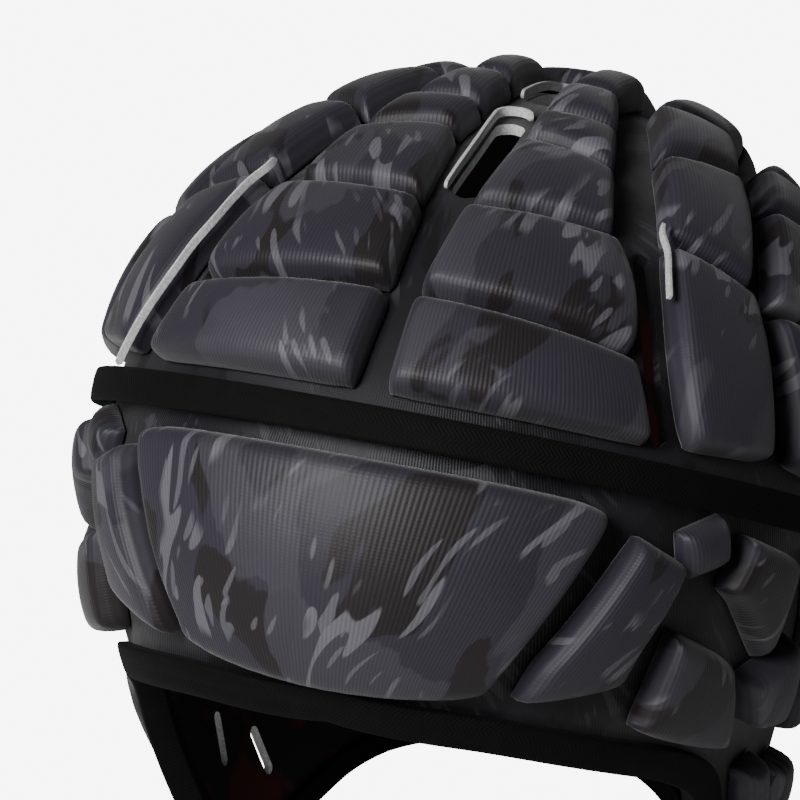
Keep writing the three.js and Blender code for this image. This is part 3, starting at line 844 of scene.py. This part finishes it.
@dataclass
class Shells:
    """The two cloth walls, with their lining and the vents cut through them."""

    form: HeadForm
    # The walls' cloth is the darker copy of the knit, painted shade for walls seen only in the creases
    # between the pads.
    cloth: bpy.types.Material
    lining: bpy.types.Material
    cut: bpy.types.Material
    columns: int = 360
    rows: int = 90
    flat_breadth: float = 0.11
    reach: float = 0.006
    crown_slot: Rows = ((4, 0.756), (60, 0.988), (180, 0.915))
    rear_slot: Rows = ((180, 0.83), (180, 0.76), (180, 0.69))
    side_slot: Rows = ((53, 0.035), (54.3, 0.139), (56.8, 0.267), (61.5, 0.409), (70.5, 0.575))
    flap_slits: Sequence[Rows] = (
        ((92, 0.719), (91, 0.784), (89.6, 0.847)),
        ((102, 0.798), (103, 0.87), (104, 0.935)),
    )
    crown_slot_width: float = 0.007
    rear_slot_width: float = 0.006
    side_slot_width: float = 0.0042
    slit_width: float = 0.0034

    def _wall(
        self, name: str, low: Callable[[Array], Array], high: Callable[[Array], Array]
    ) -> bpy.types.Object:
        """Lays a wall of cloth between two height angles that depend on the bearing, and lines it."""
        form = self.form

        def place(u: Array, v: Array) -> Array:
            """Points of the cloth at shares round and up it."""
            bearing = 360 * u - 180
            foot, top = low(bearing), high(bearing)
            return form.points(bearing, foot + (top - foot) * v, form.pad_depth)

        wall = grid(name, self.columns, self.rows, place, (math.pi * form.width, self.flat_breadth))
        edit(wall, lambda: bpy.ops.mesh.remove_doubles(threshold=1e-5))
        wall.data.materials.append(self.cloth)
        wall.data.materials.append(self.lining)
        thicken(wall, form.wall, 0, inner_material=1)
        return wall

    def _cut(self, wall: bpy.types.Object, route: Array, width: float, finish: bpy.types.Material) -> None:
        """Cuts a round-ended vent through a wall along a route of angles, with a finish for its cut sides."""
        form = self.form
        path, outward = form.along(route, 60, form.pad_depth - self.reach)
        tool = ribbon("vent_tool", path, outward, width, 40, 2, rounded=width / 2)
        tool.data.materials.append(finish)
        thicken(tool, 2 * self.reach, 0)
        cutting = {"operation": "DIFFERENCE", "solver": "EXACT", "material_mode": "TRANSFER"}
        with_modifier(wall, "BOOLEAN", object=tool, **cutting)
        bpy.data.objects.remove(tool)

    def build(self) -> None:
        """Builds both walls and cuts their vents."""
        form = self.form
        seam = math.degrees(form.gap / form.crown_height) / 2
        crown = self._wall(
            "crown_cloth", lambda b: form.tape_height(b) + seam, lambda b: np.full_like(b, 90.0)
        )
        self._cut(crown, form.risen(self.crown_slot), self.crown_slot_width, self.cut)
        self._cut(crown, form.risen(self.rear_slot), self.rear_slot_width, self.cut)
        side = form.risen(self.side_slot)
        # The side vents' cut sides take the walls' painted-shade cloth, so they read dark.
        for turn in Side:
            self._cut(crown, side * [turn.value, 1], self.side_slot_width, self.cloth)
        smooth(crown)
        finished(crown, Slot.CLOTH, "crown_shell")
        lower = self._wall("lower_cloth", form.edge_height, lambda b: form.tape_height(b) - seam)
        for slit in self.flap_slits:
            for turn in Side:
                self._cut(lower, form.fallen(slit) * [turn.value, 1], self.slit_width, self.cut)
        smooth(lower)
        finished(lower, Slot.CLOTH, "lower_shell")


@dataclass
class Tapes:
    """The middle tape over the joint of the walls, and the binding of the lower edge."""

    form: HeadForm
    tape: bpy.types.Material
    thickness: float = 0.0056
    binding_thickness: float = 0.0074
    binding_proud: float = 0.003
    rounding: float = 0.0012
    crown: float = 0.0005

    def build(self) -> None:
        """Builds both tapes."""
        form = self.form
        bearing = np.linspace(-180, 180, 721)
        height = form.tape_height(bearing)
        inset = form.pad_depth - form.gap - self.thickness
        tape = self._loop("middle_tape_twill", bearing, height, inset, form.tape_width, self.thickness)
        finished(tape, Slot.TAPE, "middle_tape")
        line = form.edge_line(1200)
        bearing = np.concatenate([-line[::-1, 0], line[1:, 0]])
        height = np.concatenate([line[::-1, 1], line[1:, 1]])
        inset = form.pad_depth - self.binding_proud
        size = form.binding_width, self.binding_thickness
        binding = self._loop("edge_binding_twill", bearing, height, inset, *size)
        finished(binding, Slot.TAPE, "edge_binding")

    def _loop(
        self, name: str, bearing: Array, height: Array, inset: float, width: float, thickness: float
    ) -> bpy.types.Object:
        """Lays one closed tape along a line of angles."""
        path = self.form.points(bearing, height, inset + self.crown)
        outward = self.form.normals(bearing, height, inset)
        tape = ribbon(name, path, outward, width, 560, 8, closed=True, crown=self.crown)
        tape.data.materials.append(self.tape)
        thicken(tape, thickness - self.crown, self.rounding)
        smooth(tape, 60)
        return tape


@dataclass(frozen=True)
class PadPlan:
    """Where one pad lies: its corners as angles, and how its sides and height depart from plain."""

    form: HeadForm
    corners: Array
    bow: float = 0.0
    inner_bulge: float = 0.0
    outer_bulge: float = 0.0
    rise: float = 1.0

    def angles(self, x: Array, y: Array) -> tuple[Array, Array]:
        """Finds the angles of places on the pad.

        Args:
            x: from -1 on its inner side to 1 on its outer side.
            y: from -1 on its upper side to 1 on its lower side.

        Returns:
            Their bearings and height angles.
        """
        s, t = (x + 1) / 2, (y + 1) / 2
        weights = np.stack([(1 - s) * (1 - t), s * (1 - t), s * t, (1 - s) * t], axis=-1)
        bearing, height = directions_to_angles(unit(weights @ angles_to_directions(self.corners)))
        bulge = (self.outer_bulge * s - self.inner_bulge * (1 - s)) * (1 - y * y)
        return bearing * (1 + bulge), height + self.bow * (1 - t) * (1 - x * x)

    def half_size(self, crease: float) -> Array:
        """Half the pad's length and breadth at its seat, inside half a crease."""
        inset = self.form.pad_depth - self.form.gap
        across = self.form.points(*self.angles(np.array([-1.0, 1.0]), np.zeros(2)), inset)
        along = self.form.points(*self.angles(np.zeros(2), np.array([-1.0, 1.0])), inset)
        return np.array([np.linalg.norm(ends[1] - ends[0]) / 2 for ends in (across, along)]) - crease / 2


@dataclass(frozen=True)
class PadLayout:
    """The places of all the pads on the form, as bearings and shares of the way up or down the cap.

    A column's row is a crease across it: the bearing and rise of its inner end, then of its outer end.
    A bulge is how far a pad's inner and outer sides bow out. A back row is half a breadth and a rise.
    The other pads have four corners, as bearings and falls. The roundel is its bearing, fall, half
    breadth in metres and share of the full height.
    """

    form: HeadForm
    columns: dict = field(
        default_factory=lambda: {
            "inner": (
                (2.4, 0.01, 50, 0.01),
                (2.6, 0.325, 51.5, 0.237),
                (9.5, 0.65, 62.5, 0.568),
                (98, 0.95, 87, 0.758),
                (156, 0.919, 119, 0.808),
                (170, 0.83, 149, 0.777),
                (174, 0.68, 161, 0.655),
            ),
            "middle": (
                (55.8, 0.024, 70.5, 0.04),
                (74.5, 0.574, 83.5, 0.426),
                (108, 0.752, 115.5, 0.614),
                (147, 0.741, 134, 0.618),
                (160, 0.588, 147, 0.517),
                (166, 0.29, 154, 0.26),
                (167, 0.01, 157, 0.01),
            ),
            "outer": (
                (75, 0.045, 87, 0.02),
                (85, 0.399, 98, 0.296),
                (110, 0.569, 116, 0.415),
                (129, 0.584, 131, 0.431),
                (147, 0.48, 143, 0.29),
            ),
            "rear": ((98.5, 0.25, 99, 0.01), (147, 0.235, 150, 0.01)),
        }
    )
    bulges: dict = field(default_factory=lambda: {"inner_2": (0, 0.048), "middle_1": (0.056, 0)})
    back_rows: Rows = ((14, 0.65), (10.8, 0.41), (10.6, 0.2), (10.2, 0.01))
    sides: dict = field(
        default_factory=lambda: {
            "temple_pad": ((45.5, 0.12), (53.2, 0.24), (43, 0.8), (25.4, 0.955)),
            "cheek_pad": ((50.8, 0.57), (61, 0.6), (64.5, 0.9), (44.2, 0.955)),
            "side_pad_upper": ((64.5, 0.03), (75.5, 0.055), (68.5, 0.527), (58.8, 0.36)),
            "side_pad_lower": ((63.5, 0.66), (77.5, 0.227), (80, 0.435), (68, 0.73)),
            "ear_pad": ((81, 0.02), (101, 0.02), (101, 0.418), (84.5, 0.451)),
            "flap_pad_front": ((72.5, 0.7), (80, 0.51), (85.5, 0.84), (80.5, 0.86)),
            "flap_pad_rear": ((83.5, 0.531), (92, 0.5), (95.5, 0.62), (89, 0.76)),
        }
    )
    roundel: tuple[float, float, float, float] = (56.5, 0.154, 0.015, 0.8)
    forehead: Rows = ((-43.2, 0.04), (43.2, 0.04), (22.8, 0.935), (-22.8, 0.935))
    forehead_bow: float = 2.4
    nape: Rows = ((153, 0.28), (-153, 0.28), (-155, 0.84), (155, 0.84))

    def plans(self) -> dict[str, PadPlan]:
        """Lists every pad's node with its plan."""
        form = self.form
        found = {
            "forehead_pad": PadPlan(form, form.fallen(self.forehead), bow=self.forehead_bow),
            "nape_pad": PadPlan(form, form.fallen(self.nape)),
        }
        for k, (upper, lower) in enumerate(zip(self.back_rows, self.back_rows[1:]), start=1):
            turns = ((upper, -1), (upper, 1), (lower, 1), (lower, -1))
            corners = [(180 + turn * half, rise) for (half, rise), turn in turns]
            found[f"back_pad_{k}"] = PadPlan(form, form.risen(corners))
        for turn in Side:
            side = turn.name.lower()
            for column, rows in self.columns.items():
                for k, (low, high) in enumerate(zip(rows, rows[1:]), start=1):
                    corners = form.risen((high[:2], high[2:], low[2:], low[:2])) * [turn.value, 1]
                    bulges = self.bulges.get(f"{column}_{k}", (0, 0))
                    found[f"{column}_pad_{side}_{k}"] = PadPlan(form, corners, 0, *bulges)
            for pad, corners in self.sides.items():
                found[f"{pad}_{side}"] = PadPlan(form, form.fallen(corners) * [turn.value, 1])
            bearing, fall, across, rise = self.roundel
            middle = form.fallen([(bearing, fall)])[0]
            spread = math.degrees(across / form.width)
            square = np.array([(-1, 1), (1, 1), (1, -1), (-1, -1)])
            corners = (middle + spread * square) * [turn.value, 1]
            found[f"temple_roundel_{side}"] = PadPlan(form, corners, rise=rise)
        return found


@dataclass
class Pads:
    """The foam pads: a crowned cushion on each plan.

    The formula in _lift gives the pads their shape. The cloth simulation that follows it has a low
    air pressure, and moves their cloth by less than 0.2 mm.
    """

    form: HeadForm
    cloth: bpy.types.Material
    crease: float = 0.0006
    spacing: float = 0.0019
    squareness: float = 13.0
    edge_crowding: float = 0.55
    roll: float = 0.0042
    edge_slack: float = 0.00003
    print_step: float = 0.137
    roll_power: float = 2.5
    roll_share: float = 0.8
    flatness: float = 0.84
    pucker: float = 0.00022
    pucker_size: float = 0.0011
    pucker_middle: float = 0.0022
    pucker_spread: float = 0.0016
    print_turn: float = 0.7
    swell_limit: float = 0.0006
    pressure: float = 4.0
    frames: int = 20
    fill: float = 0.85

    def _flat(self, plan: PadPlan, u: Array, v: Array) -> tuple[Array, Array]:
        """Draws a square in to the pad's rounded outline.

        Args:
            plan: the pad's plan.
            u: shares across it.
            v: shares down it.

        Returns:
            The places as shares from -1 to 1, and laid flat in metres.
        """
        square = np.stack([2 * u - 1, 2 * v - 1], axis=-1)
        square += self.edge_crowding * (np.sin(math.pi / 2 * square) - square)
        reach = np.maximum(np.max(np.abs(square), axis=-1, keepdims=True), 1e-9)
        powers = np.sum(np.abs(square / reach) ** self.squareness, axis=-1, keepdims=True)
        norm = np.maximum(powers ** (1 / self.squareness), 1e-9)
        size = plan.half_size(self.crease)
        inside = square / norm
        return inside * size / (size + self.crease / 2), inside * size

    def _lift(self, plan: PadPlan, shares: Array, flat: Array, phase: float) -> Array:
        """Height of the pad's cloth over its seat: steep rolled sides, a gentle crown and slight puckers."""
        around = np.linspace(0, 1, 61)[:-1]
        ones = np.ones_like(around)
        u = np.concatenate([around, ones, 1 - around, 0 * ones])
        v = np.concatenate([0 * ones, around, ones, 1 - around])
        outline = self._flat(plan, u, v)[1]
        after = np.roll(outline, -1, axis=0) - outline
        gap = flat[:, None, :] - outline[None]
        share = np.clip(np.sum(gap * after, axis=-1) / np.maximum(np.sum(after**2, axis=-1), 1e-12), 0, 1)
        distance = np.min(np.linalg.norm(gap - share[..., None] * after, axis=-1), axis=1)
        distance = np.maximum(distance - self.edge_slack, 0)
        roll = min(self.roll, self.roll_share * float(np.min(plan.half_size(self.crease))))
        side = np.sqrt(np.clip(1 - (1 - np.clip(distance / roll, 0, 1)) ** self.roll_power, 0, 1))
        crown = (1 - shares[:, 0] ** 2) * (1 - shares[:, 1] ** 2)
        x, y = (flat / self.pucker_size).T
        ripple = np.sin(x + 1.7 * np.sin(0.6 * y + phase))
        ripple = ripple * np.sin(0.9 * y + 1.5 * np.sin(0.7 * x + 2 * phase))
        fold = self.pucker * ripple * np.exp(-(((distance - self.pucker_middle) / self.pucker_spread) ** 2))
        top = (self.form.pad_depth - self.form.gap) * plan.rise
        return top * side * (self.flatness + (1 - self.flatness) * crown) + fold * side

    def _cushion(self, node: str, plan: PadPlan, phase: float) -> bpy.types.Object:
        """Makes a pad's closed cushion: its crowned face and its seat, sewn together along the outline."""
        form = self.form
        size = 2 * plan.half_size(self.crease) / self.spacing
        columns, rows = (int(np.clip(round(faces), 8, 72)) for faces in size)
        layers = []
        for lifted in (True, False):
            kept = {}

            def place(u: Array, v: Array) -> Array:
                """Points of the face or of the seat."""
                shares, kept["flat"] = self._flat(plan, u, v)
                lift = self._lift(plan, shares, kept["flat"], phase) if lifted else np.zeros(len(u))
                bearing, height = plan.angles(shares[:, 0], shares[:, 1])
                seat = form.points(bearing, height, form.pad_depth - form.gap)
                return seat + form.normals(bearing, height, form.pad_depth) * lift[:, None]

            layer = grid(node + "_cushion", columns, rows, place)
            lay_flat(layer, kept["flat"] + phase * self.print_step)
            layers.append(layer)
        cushion, seat = layers
        held = {tuple(p) for p in np.round(read_places(seat), 6)}
        pick(cushion)
        seat.select_set(True)
        bpy.ops.object.join()
        edit(
            cushion,
            lambda: bpy.ops.mesh.remove_doubles(threshold=1e-5),
            lambda: bpy.ops.mesh.normals_make_consistent(inside=False),
        )
        group = cushion.vertex_groups.new(name="seat")
        places = np.round(read_places(cushion), 6)
        group.add([k for k, p in enumerate(places) if tuple(p) in held], 1.0, "REPLACE")
        return cushion

    def _swell(self, pads: list[bpy.types.Object]) -> None:
        """Puts air pressure in the pads while their seats stay still, moving no vertex past a limit."""
        before = {pad.name: read_places(pad) for pad in pads}
        chosen = {
            "quality": 4,
            "mass": 0.2,
            "tension_stiffness": 18,
            "compression_stiffness": 18,
            "bending_stiffness": 3,
            "use_pressure": True,
            "uniform_pressure_force": self.pressure,
            "vertex_group_mass": "seat",
        }
        for pad in pads:
            cloth = pad.modifiers.new("Cloth", "CLOTH")
            for name, value in chosen.items():
                setattr(cloth.settings, name, value)
            cloth.settings.effector_weights.gravity = 0
            cloth.point_cache.frame_start = 1
            cloth.point_cache.frame_end = self.frames
        for step in range(1, self.frames + 1):
            bpy.context.scene.frame_set(step)
        for pad in pads:
            pick(pad)
            bpy.ops.object.modifier_apply(modifier="Cloth")
            start = before[pad.name]
            moved = read_places(pad) - start
            size = np.linalg.norm(moved, axis=1, keepdims=True)
            write_places(pad, start + moved * np.minimum(1, self.swell_limit / np.maximum(size, 1e-9)))
        bpy.context.scene.frame_set(1)

    def build(self) -> None:
        """Builds every pad."""
        plans = PadLayout(self.form).plans()
        pads = {}
        for k, (node, plan) in enumerate(plans.items()):
            pads[node] = self._cushion(node, plan, self.print_turn * k)
        self._swell(list(pads.values()))
        for node, pad in pads.items():
            pad.vertex_groups.clear()
            with_modifier(pad, "SUBSURF", levels=1, render_levels=1)
            pad.data.materials.clear()
            pad.data.materials.append(self.cloth)
            smooth(pad, 70)
            finished(pad, Slot.CLOTH, node)


@dataclass
class VentEdges:
    """The pale cut foam that stands along the vents, seen past the pads."""

    form: HeadForm
    foam: bpy.types.Material
    side_route: Rows = (
        (54.3, 26),
        (55.3, 33),
        (57, 41),
        (59.8, 46),
        (62, 49.5),
        (65.6, 52.8),
        (69.4, 55.6),
        (72.2, 58.2),
        (75, 59.3),
    )
    side_height: float = 0.0018
    side_inset: float = 0.0010
    side_short: float = 0.45
    crown_height: float = 0.0022
    crown_inset: float = 0.0060
    thickness: float = 0.0008
    rounding: float = 0.0003
    margin: float = 0.0004

    def _wall(self, name: str, angles: Array, inset: float, height: float, turn: int) -> None:
        """Stands a low wall of foam along a side vent, facing the middle of the crown."""
        path, outward = self.form.along(angles, 160, inset + height / 2)
        sideways = np.cross(unit(np.gradient(path, axis=0)), outward) * -turn
        self._strip(name, path, unit(sideways), height)

    def _round(self, name: str, route: Array, width: float) -> None:
        """Stands a low wall of foam round the far end and one side of a vent in the middle of the crown."""
        middle, outward = self.form.along(route, 60, self.form.pad_depth)
        run = unit(np.gradient(middle, axis=0))
        across = np.cross(outward, run)
        lift = self.form.pad_depth - self.crown_inset - self.crown_height / 2
        half = width / 2 + self.margin
        turn = np.radians(np.linspace(0, 180, 13)[1:-1])
        last = [middle[-1] + (run[-1] * math.sin(a) + across[-1] * math.cos(a)) * half for a in turn]
        line = np.vstack([middle + across * half, last])
        outs = np.vstack([outward, [outward[-1]] * len(last)])
        line = line + outs * lift
        inward = np.cross(outs, unit(np.gradient(line, axis=0)))
        if np.sum(inward[: len(middle)] * across) > 0:
            inward = -inward
        self._strip(name, line, inward, self.crown_height)

    def _strip(self, name: str, path: Array, facing: Array, height: float) -> None:
        """Makes one strip of foam along a line, with rounded ends."""
        wall = ribbon(name, path, facing, height, 110, 4, rounded=height / 2)
        wall.data.materials.append(self.foam)
        thicken(wall, self.thickness, self.rounding)
        smooth(wall, 50)
        finished(wall, Slot.CLOTH)

    def build(self, shells: Shells) -> None:
        """Builds the edges beside the side vents and round the vents of the crown."""
        route = np.array(self.side_route, float)
        for turn in Side:
            name = f"side_vent_edge_{turn.name.lower()}"
            shown = route if turn is Side.RIGHT else route[int(len(route) * self.side_short) :]
            self._wall(name, shown * [turn.value, 1], self.side_inset, self.side_height, turn.value)
        self._round("crown_vent_edge", self.form.risen(shells.crown_slot), shells.crown_slot_width)
        self._round("rear_vent_edge", self.form.risen(shells.rear_slot), shells.rear_slot_width)


@dataclass
class ChinStrap:
    """The webbing strap from the outside of one flap, under the chin, to the other."""

    form: HeadForm
    webbing: bpy.types.Material
    width: float = 0.024
    thickness: float = 0.0026
    drop: float = 0.161
    forward: float = 0.060
    proud: float = 0.003
    clear: float = 0.0018
    tilt: float = 0.35
    rounding: float = 0.0006
    route: Rows = ((96, 0.9), (86.5, 0.97))
    under_chin: Rows = ((0.82, 0.4), (0.45, 0.85), (0, 1))

    def build(self) -> None:
        """Builds the strap."""
        form = self.form
        inset = form.pad_depth - self.proud - self.clear - self.thickness / 2
        angles = form.fallen(self.route)
        seats = form.points(angles[:, 0], angles[:, 1], inset)
        faces = form.normals(angles[:, 0], angles[:, 1], inset)
        end = seats[1] + [0, 0, form.head_top]
        lowest = np.array([0, -self.forward, -self.drop])
        hang = []
        turn = []
        for across, share in self.under_chin:
            fall = end + (lowest - end) * share
            hang.append((end[0] * across, fall[1], fall[2]))
            turn.append((across, -self.tilt, across - 1))
        half = np.vstack([seats, np.array(hang) - [0, 0, form.head_top]])
        faces = np.vstack([faces, unit(np.array(turn))])
        mirror = np.array([-1, 1, 1])
        path = spline(np.vstack([half, half[-2::-1] * mirror]), 240)
        outward = unit(spline(np.vstack([faces, faces[-2::-1] * mirror]), 240))
        path = path + outward * self.thickness / 2
        strap = ribbon("chin_strap_webbing", path, outward, self.width, 200, 12)
        strap.data.materials.append(self.webbing)
        thicken(strap, self.thickness, self.rounding)
        smooth(strap, 50)
        finished(strap, Slot.WEBBING, "chin_strap")


@dataclass
class Studio:
    """A plain pale floor, soft light and the photograph's viewpoint."""

    floor_level: float = -0.262
    floor_size: float = 12.0
    eye: tuple[float, float, float] = (0.3592, -1.1484, 0.5661)
    aim: tuple[float, float, float] = (-0.0195, -0.00075, -0.0646)
    roll: float = 1.54
    lens: float = 260.2
    pale: float = 7.7
    haze: float = 0.028
    lamp_size: float = 0.9
    lamps: dict = field(
        default_factory=lambda: {"key": ((-0.50, -1.40, 1.08), 37.0), "top": ((-0.35, 0.1, 1.5), 1.2)}
    )

    def build(self) -> None:
        """Builds the floor, the lights, the surroundings and the camera."""
        self._floor()
        for name, (place, power) in self.lamps.items():
            self._lamp(name, place, power)
        world = bpy.data.worlds.new("surroundings")
        bpy.context.scene.world = world
        world.use_nodes = True
        w = Wiring(world.node_tree)
        light = w.node("Background", {0: (1, 1, 1.02, 1), 1: self.haze})
        out = w.node("OutputWorld")
        w.tree.links.new(light.outputs[0], out.inputs[0])
        self._camera()

    def _floor(self) -> None:
        """Lays the floor, evenly pale to the eye and dim to the cap."""
        deselect()
        bpy.ops.mesh.primitive_grid_add(x_subdivisions=4, y_subdivisions=4, size=self.floor_size)
        floor = bpy.context.object
        floor.name = "studio_floor"
        floor.data.transform(Matrix.Translation((0, 0, self.floor_level)))
        material, w, shader = bare_material("pale_floor")
        seen = w.node("LightPath").outputs["Is Camera Ray"]
        glow = w.node("Emission", {0: (1, 1, 1, 1), 1: self.pale})
        w.fill(shader, Base_Color=(0.5, 0.5, 0.5, 1), Roughness=0.9)
        mix = w.node("MixShader", {0: seen, 1: shader.outputs[0], 2: glow.outputs[0]})
        out = next(n for n in w.tree.nodes if n.bl_idname == "ShaderNodeOutputMaterial")
        w.tree.links.new(mix.outputs[0], out.inputs[0])
        floor.data.materials.append(material)

    def _lamp(self, name: str, place: Sequence[float], power: float) -> None:
        """Hangs a soft square lamp that faces the cap."""
        deselect()
        bpy.ops.object.light_add(type="AREA", location=place)
        lamp = bpy.context.object
        lamp.name = name
        lamp.data.size = self.lamp_size
        lamp.data.energy = power
        lamp.rotation_euler = (Vector((0, 0, -0.06)) - Vector(place)).to_track_quat("-Z", "Y").to_euler()

    def _camera(self) -> None:
        """Sets the camera where the photograph was taken."""
        deselect()
        bpy.ops.object.camera_add(location=self.eye)
        camera = bpy.context.object
        camera.name = "photo_view"
        look = (Vector(self.aim) - Vector(self.eye)).to_track_quat("-Z", "Y").to_matrix()
        turned = look @ Matrix.Rotation(math.radians(self.roll), 3, "Z")
        camera.rotation_euler = turned.to_euler()
        camera.data.lens = self.lens
        camera.data.sensor_width = 36.0
        camera.data.clip_end = 50.0
        bpy.context.scene.camera = camera


def main() -> None:
    """Builds the cap, piece by piece, and the studio round it."""
    logging.basicConfig(level=logging.INFO, format="%(name)s: %(message)s")
    effects = Effects()
    form = HeadForm()
    cloth = PrintedKnit().build(effects)
    black, black_shadow = (0.0042, 0.0043, 0.0040), (0.0018, 0.0018, 0.0017)
    tape = WovenTape("twill_tape", black, black_shadow, pitch=0.0011).build(effects)
    worn, worn_shadow = (0.0065, 0.0065, 0.007), (0.003, 0.003, 0.003)
    webbing = WovenTape("strap_webbing", worn, worn_shadow, pitch=0.0018).build(effects)
    Studio().build()
    foam = CutFoam().build()
    # A darker copy of the printed knit: painted shade for the walls, which show only in the creases between
    # the pads.
    crease_painted_shade_cloth = PrintedKnit(name="crease_rib_knit", shade=0.3).build(effects)
    shells = Shells(form, crease_painted_shade_cloth, Lining().build(effects), foam)
    shells.build()
    Tapes(form, tape).build()
    Pads(form, cloth).build()
    VentEdges(form, foam).build(shells)
    ChinStrap(form, webbing).build()


if __name__ == "__main__":
    main()
